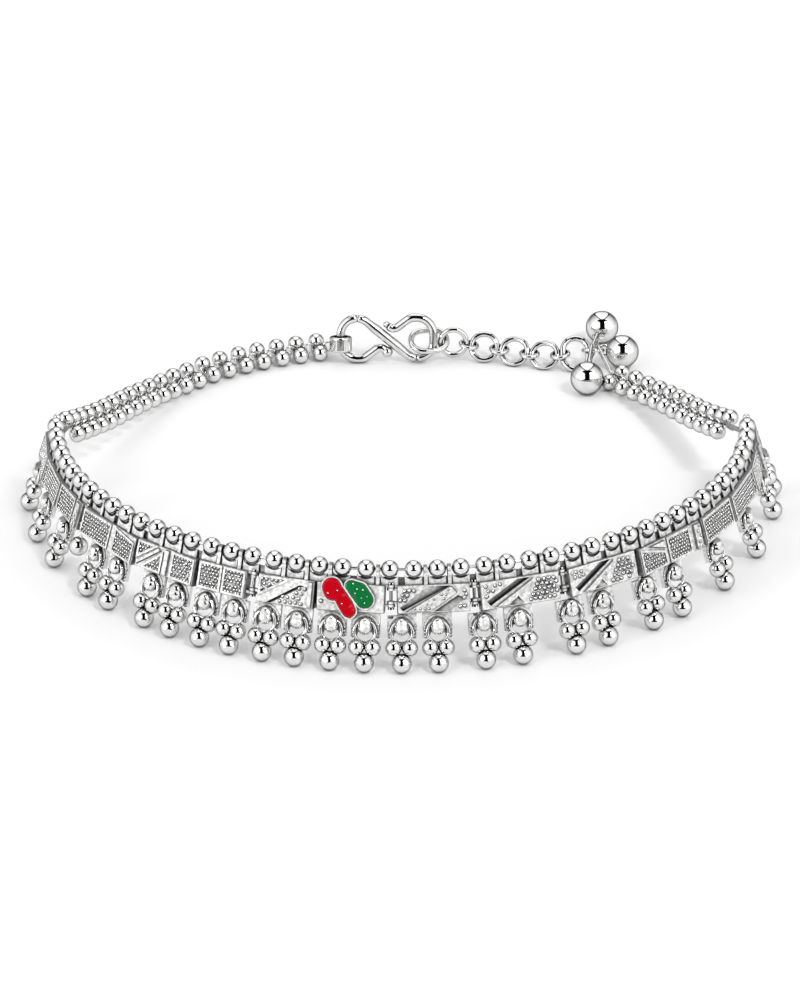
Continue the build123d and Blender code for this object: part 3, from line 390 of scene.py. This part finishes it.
# Granulated fields: corners in fractions of the plate's width and height, the granules' spacing and
# radius, how many of the places stay filled, and how far the field stands out from the plate's face.
Field = namedtuple("Field", "corners pitch radius filled out")
FINE = (0.44, 0.175, 1.0, 0.0)
GRAINS = {
    "square": [Field(((0, 0), (1, 0), (1, 1), (0, 1)), *FINE)],
    "square_and_strip": [
        Field(((0, 0), (0.72, 0), (0.72, 1), (0, 1)), *FINE),
        Field(((0.82, 0), (0.98, 0), (0.98, 1), (0.82, 1)), 0.6, 0.15, 0.7, PANEL_HEIGHT),
    ],
    "square_and_wedge": [
        Field(((0, 0), (0.54, 0), (0.54, 1), (0, 1)), *FINE),
        Field(((0.62, 0), (1, 0), (1, 0.82), (0.62, 1)), *FINE),
    ],
    "hourglass": [
        Field(((0, 0.28), (0.36, 1), (0, 1)), *FINE),
        Field(((0.08, 0), (0.45, 0), (0.45, 0.86)), *FINE),
        Field(((0.61, 0), (1, 0), (1, 1), (0.61, 1)), *FINE),
    ],
    "two_squares": [
        Field(((0, 0), (0.49, 0), (0.49, 1), (0, 1)), *FINE),
        Field(((0.52, 0), (1, 0), (1, 1), (0.52, 1)), *FINE),
    ],
    "wings": [
        Field(((0, 0.2), (0.62, 1), (0, 1)), 0.6, 0.2, 0.9, 0.0),
        Field(((0.22, 0.04), (0.88, 0.95), (0.88, 0.04)), 0.64, 0.2, 0.9, 0.0),
        Field(((0, 0), (0.1, 0), (0.1, 0.2), (0, 0.2)), 0.5, 0.17, 1.0, 0.0),
    ],
    "smooth": [Field(((0, 0.1), (0.08, 0.1), (0.08, 0.9), (0, 0.9)), 0.62, 0.22, 0.8, 0.0)],
    "wide_ribbon": [
        Field(((0, 0.25), (0.4, 0.99), (0, 0.99)), 0.56, 0.22, 0.95, 0.0),
        Field(((0.10, 0.04), (0.46, 0.04), (0.84, 0.7), (0.74, 0.94)), 0.56, 0.13, 0.75, PANEL_HEIGHT),
        Field(((0.82, 0.98), (0.98, 0.98), (0.98, 0.35), (0.92, 0.42)), 0.5, 0.2, 1.0, 0.0),
        Field(((0.74, 0.02), (1, 0.02), (1, 0.34), (0.9, 0.36)), 0.5, 0.2, 1.0, 0.0),
    ],
    "ribbon": [
        Field(((0, 0.3), (0.42, 0.99), (0, 0.99)), 0.6, 0.2, 0.8, 0.0),
        Field(((0.36, 0.08), (0.62, 0.62), (0.6, 0.9)), 0.6, 0.14, 0.6, PANEL_HEIGHT),
        Field(((0.52, 0.02), (1, 0.02), (1, 0.98), (0.72, 0.98), (0.66, 0.6)), 0.58, 0.23, 0.95, 0.0),
    ],
    "leaf_and_square": [
        Field(((0, 0), (0.4, 0), (0.4, 0.55), (0, 1)), *FINE),
        Field(((0.44, 0), (0.82, 0), (0.82, 1), (0.44, 1)), *FINE),
        Field(((0.89, 0), (0.99, 0), (0.99, 1), (0.89, 1)), 0.7, 0.17, 0.8, PANEL_HEIGHT),
    ],
}
INSET = 0.1                 # the relief keeps this far from the plate's edge
RIM = 0.14                  # and the fine granules this far from their frame
FINE_PITCH_LIMIT = 0.5
EDGE_SHARE = 0.75           # how much of a granule stays inside its field
ROW_STEP = 0.92             # distance of the granules' rows, for a pitch of 1
SHIFT = 0.05                # a granule's random shift along and across the plate
# Dark discs of painted shadow below the granules, a little to their lower right.
SHADOW_WIDTH = 1.3          # of the dark disc of painted shadow round a granule, for a granule of 1
SHADOW_ASIDE = 0.03         # the disc of painted shadow lies a little to the right and below its granule
SHADOW_BELOW = 0.05
SHADOW_THICK = 0.05
GRANULE_SINK = 0.06
GRANULE_RINGS = 3

# Granules along both edges of a tab, each over a dark disc of painted shadow, measured from the tassel's
# lowest ball.
TAB_GRAIN = 0.15
TAB_SHADOW = 0.2
TAB_GRAINS = 4
TAB_GRAIN_UP = 4.35
TAB_GRAIN_PITCH = 0.42
TAB_GRAIN_ASIDE = 1.5
TAB_TAPER = 0.03

# Raised arches over the tabs' eyes.
EYE_UP = 4.1
ARCH_RADII = (1.12, 1.27)
ARCH_WIRE = 0.055

# Saddles of the top balls, and the dark strip of painted shade behind them.
SADDLE_RADIUS = 1.24
SADDLE_HALF_WIDTH = 0.98
SADDLE_FOOT = -1.85
SADDLE_THICK = 0.3
NECK_HALF_WIDTH = 1.37
NECK_FOOT = -1.95
NECK_HEAD = -0.95
NECK_THICK = 0.16
NECK_BACK = -0.3


def outwards(angle):
    return np.array((sin(radians(angle)), -cos(radians(angle)), 0.0))


def top_height(angle):
    return TOP_MEAN_HEIGHT + TOP_RISE * cos(radians(angle))


def lowest_ball_down(angle):
    return (top_height(angle) + RING_OUT * sin(BAND_LEAN) - LOW_BALL) / cos(BAND_LEAN)


Place = namedtuple("Place", "origin axes")


def band(angle, down=0.0, out=0.0, aside=0.0):
    """Place on the band: x along it, y up it, z outwards."""
    x = np.array((cos(radians(angle)), sin(radians(angle)), 0.0))
    z = outwards(angle) * cos(BAND_LEAN) + np.array((0, 0, sin(BAND_LEAN)))
    y = np.cross(z, x)
    origin = CENTRE + outwards(angle) * TOP_RADIUS + np.array((0, 0, top_height(angle)))
    return Place(origin + x * aside - y * down + z * out, np.array((x, y, z)))


def middle_angle(plate):
    return (plate.start + plate.end) / 2


def plate_half_width(plate):
    radius = TOP_RADIUS + (PLATE_TOP + PLATE_HEIGHT / 2) * sin(BAND_LEAN)
    return radius * tan(radians(plate.end - plate.start) / 2)


# Places of the silver specks that stand in for the enamel's glints, as painted highlights, along the plate
# and down from the top wire.
ENAMEL_PLATE = 7
ENAMEL_TOP = 0.33
GLINT_RADIUS = 0.12
ENAMEL_GLINTS = [(-2.6, 2.95), (-1.5, 2.6), (-0.95, 4.1), (0.3, 1.7), (0.75, 2.3), (0.55, 2.8),
          (1.45, 2.35), (1.3, 3.3), (1.95, 3.1), (1.7, 3.9)]


# ---------------------------------------------------------------- shapes
def make_piece(name, mesh, material, smooth=True):
    mesh.polygons.foreach_set("use_smooth", [smooth] * len(mesh.polygons))
    mesh.materials.append(material)
    piece = bpy.data.objects.new(name, mesh)
    bpy.context.collection.objects.link(piece)
    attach(piece, "root")
    return piece


class Shape:
    """Vertices and faces of a joined mesh, in mm."""

    def __init__(self):
        self.points = []
        self.faces = []
        self.count = 0

    def add(self, pattern, place):
        points, faces = pattern
        self.points.append(points @ place.axes + place.origin)
        self.faces.extend(tuple(i + self.count for i in face) for face in faces)
        self.count += len(points)

    def build(self, name, material, smooth=True):
        mesh = bpy.data.meshes.new(name)
        mesh.from_pydata((np.vstack(self.points) * MM).tolist(), [], self.faces)
        mesh.update()
        make_piece(name, mesh, material, smooth)


def ring_faces(rings, sides):
    """Faces between rings of points that follow each other."""
    faces = []
    for i in range(rings - 1):
        for j in range(sides):
            k = (j + 1) % sides
            faces.append((i * sides + j, i * sides + k, (i + 1) * sides + k, (i + 1) * sides + j))
    return faces


def turned(profile, sides):
    """Surface of revolution about z from (radius, height) pairs, with open ends."""
    points = []
    for radius, height in profile:
        for k in range(sides):
            turn = 2 * pi * k / sides
            points.append((radius * cos(turn), radius * sin(turn), height))
    return np.array(points), ring_faces(len(profile), sides)


def dome(radius, sides=10):
    """A granule: half a ball that is sunk a little into what carries it."""
    profile = [(radius, -GRANULE_SINK), (radius, 0.0)]
    for k in range(1, GRANULE_RINGS):
        rise = pi / 2 * k / GRANULE_RINGS
        profile.append((radius * cos(rise), radius * sin(rise)))
    points, faces = turned(profile, sides)
    tip = len(points)
    points = np.vstack([points, [(0, 0, radius)]])
    last = (len(profile) - 1) * sides
    faces += [(last + k, last + (k + 1) % sides, tip) for k in range(sides)]
    return points, faces


def prism(outline, depth):
    """A flat piece of an outline in x and y, its front at z = depth / 2."""
    count = len(outline)
    points = [(x, y, z) for z in (-depth / 2, depth / 2) for x, y in outline]
    faces = [tuple(range(count - 1, -1, -1)), tuple(range(count, 2 * count))]
    faces += [(k, (k + 1) % count, (k + 1) % count + count, k + count) for k in range(count)]
    return np.array(points), faces


def shadow_disc(radius, sides=10):
    """A thin round plate that faces along z, for a painted shadow."""
    turns = [2 * pi * k / sides for k in range(sides)]
    return prism([(radius * cos(turn), radius * sin(turn)) for turn in turns], SHADOW_THICK)


def moved(place, x, y):
    return Place(place.origin + np.array((x, y, 0.0)) @ place.axes, place.axes)


def tube(path, radius, sides=6):
    """A round wire along a list of points, with closed ends."""
    path = np.array(path, float)
    points = []
    tangents = np.gradient(path, axis=0)
    tangents /= np.linalg.norm(tangents, axis=1)[:, None]
    side = np.cross(tangents[0], (0.3, 0.5, 0.8))
    for centre, tangent in zip(path, tangents):
        side = side - tangent * side.dot(tangent)
        side /= np.linalg.norm(side)
        other = np.cross(tangent, side)
        for k in range(sides):
            turn = 2 * pi * k / sides
            points.append(centre + radius * (cos(turn) * side + sin(turn) * other))
    faces = ring_faces(len(path), sides)
    faces.append(tuple(range(sides - 1, -1, -1)))
    faces.append(tuple(range((len(path) - 1) * sides, len(path) * sides)))
    return np.array(points), faces


def inside(point, corners, margin):
    """True if a point lies inside a polygon, at least a margin from each edge."""
    x, y = point
    area = sum(a[0] * b[1] - b[0] * a[1] for a, b in zip(corners, corners[1:] + corners[:1]))
    for a, b in zip(corners, corners[1:] + corners[:1]):
        dx, dy = b[0] - a[0], b[1] - a[1]
        off = (dx * (y - a[1]) - dy * (x - a[0])) / hypot(dx, dy)
        if off * (1 if area > 0 else -1) < margin:
            return False
    return True


# ---------------------------------------------------------------- granulation
def make_granules(number, plate, chance):
    """Granules of a plate's fields and of its tabs' edges, each over a dark disc of painted shadow."""
    shape = Shape()
    granule_shadows = Shape()
    width = 2 * (plate_half_width(plate) - INSET)
    height = PLATE_HEIGHT - 2 * INSET
    angle = middle_angle(plate)
    for field in GRAINS[plate.face]:
        corners = [((u - 0.5) * width, (v - 0.5) * height) for u, v in field.corners]
        margin = (RIM if field.pitch < FINE_PITCH_LIMIT else 0.0) + field.radius * EDGE_SHARE
        rows = int(height / field.pitch) + 2
        columns = int(width / field.pitch) + 2
        for row in range(-rows, rows + 1):
            for column in range(-columns, columns + 1):
                x = (column + 0.5 * (row % 2)) * field.pitch + chance.uniform(-SHIFT, SHIFT)
                y = row * field.pitch * ROW_STEP + chance.uniform(-SHIFT, SHIFT)
                keep = chance.random() < field.filled
                radius = field.radius * chance.uniform(0.88, 1.1)
                if keep and inside((x, y), corners, margin):
                    place = band(angle, PLATE_TOP + PLATE_HEIGHT / 2 - y, PLATE_FRONT + field.out, x)
                    shape.add(dome(radius), place)
                    # a dark disc of painted shadow, a little to the right and below the granule
                    granule_shadows.add(shadow_disc(radius * SHADOW_WIDTH), moved(place, SHADOW_ASIDE, -SHADOW_BELOW))
    for tassel in plate.tassels:
        low = lowest_ball_down(tassel)
        for side in (-1, 1):
            for k in range(TAB_GRAINS):
                down = low - TAB_GRAIN_UP + TAB_GRAIN_PITCH * k
                place = band(tassel, down, TAB_FRONT, side * (TAB_GRAIN_ASIDE - TAB_TAPER * k))
                shape.add(dome(TAB_GRAIN * chance.uniform(0.9, 1.15), 8), place)
                # a dark disc of painted shadow, a little to the right and below the granule
                granule_shadows.add(shadow_disc(TAB_SHADOW), moved(place, SHADOW_ASIDE, -SHADOW_BELOW))
    shape.build(f"granules_{number:02d}", SILVER)
    granule_shadows.build(f"grooves_{number:02d}", SHADE_SILVER)


def make_tab_lines(number, plate):
    """Fine raised arches over the domed eyes of the tabs."""
    shape = Shape()
    for tassel in plate.tassels:
        place = band(tassel, lowest_ball_down(tassel) - EYE_UP, TAB_FRONT)
        for radius in ARCH_RADII:
            path = [(radius * cos(radians(t)), radius * sin(radians(t)), 0.0) for t in range(8, 173, 8)]
            shape.add(tube(path, ARCH_WIRE), place)
    shape.build(f"tab_lines_{number:02d}", CAST)


def make_wire(name, growth):
    """A ring or hook of the clasp at its full wire thickness, lifted if it would sink below the surface."""
    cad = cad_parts[name]
    body = bmesh.new()
    body.from_mesh(cad.data)
    bmesh.ops.transform(body, matrix=cad.matrix_world, verts=body.verts)
    bmesh.ops.remove_doubles(body, verts=body.verts, dist=0.001 * MM)
    body.normal_update()
    for vertex in body.verts:
        vertex.co += vertex.normal * growth * MM
    lowest = min(vertex.co.z for vertex in body.verts)
    bmesh.ops.translate(body, vec=(0, 0, max(0.0, -lowest)), verts=body.verts)
    mesh = bpy.data.meshes.new("wire_" + name)
    body.to_mesh(mesh)
    body.free()
    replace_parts(make_piece("wire_" + name, mesh, WIRE), name)


def make_saddles():
    """A thin saddle below each ball of the top row, on the plates' top edge, and a dark strip of painted
    shade behind it.
    """
    shape = Shape()
    turns = [radians(t) for t in range(212, 329, 12)]
    lower_arc = [(SADDLE_RADIUS * cos(turn), SADDLE_RADIUS * sin(turn)) for turn in turns]
    feet = [(-SADDLE_HALF_WIDTH, SADDLE_FOOT), (SADDLE_HALF_WIDTH, SADDLE_FOOT)]
    saddle = prism(feet + lower_arc[::-1], SADDLE_THICK)
    neck = Shape()
    strip = prism([(-NECK_HALF_WIDTH, NECK_FOOT), (NECK_HALF_WIDTH, NECK_FOOT),
                   (NECK_HALF_WIDTH, NECK_HEAD), (-NECK_HALF_WIDTH, NECK_HEAD)], NECK_THICK)
    step = degrees(BEAD_PITCH / TOP_RADIUS)
    for k in range(BEAD_COUNT):
        angle = (k - (BEAD_COUNT - 1) / 2) * step
        shape.add(saddle, band(angle))
        neck.add(strip, band(angle, 0, NECK_BACK))
    shape.build("bead_saddles", CAST, smooth=False)
    # painted shade behind the top balls
    neck.build("bead_neck", SHADE_SILVER, smooth=False)


def make_glints(chance):
    """Small silver domes on the enamel, painted highlights that stand in for its glints."""
    shape = Shape()
    angle = middle_angle(PLATES[ENAMEL_PLATE])
    for x, down in ENAMEL_GLINTS:
        place = band(angle, down, PLATE_FRONT + ENAMEL_TOP, x)
        shape.add(dome(GLINT_RADIUS * chance.uniform(0.6, 1.1), 8), place)
    shape.build("enamel_glints", SILVER)


# ---------------------------------------------------------------- all pieces
make_world()
make_camera()
make_floor()
for name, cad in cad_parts.items():
    cad.data.materials.clear()
    cad.data.materials.append(CAST if name.startswith("plate") else INLAYS.get(name, SILVER))
chance = random.Random(7)
for number, plate in enumerate(PLATES, start=1):
    make_granules(number, plate, chance)
    make_tab_lines(number, plate)
make_saddles()
make_glints(chance)
for name, growth in WIRE_GROWTH.items():
    make_wire(name, growth)
bpy.context.scene.view_settings.view_transform = "Standard"
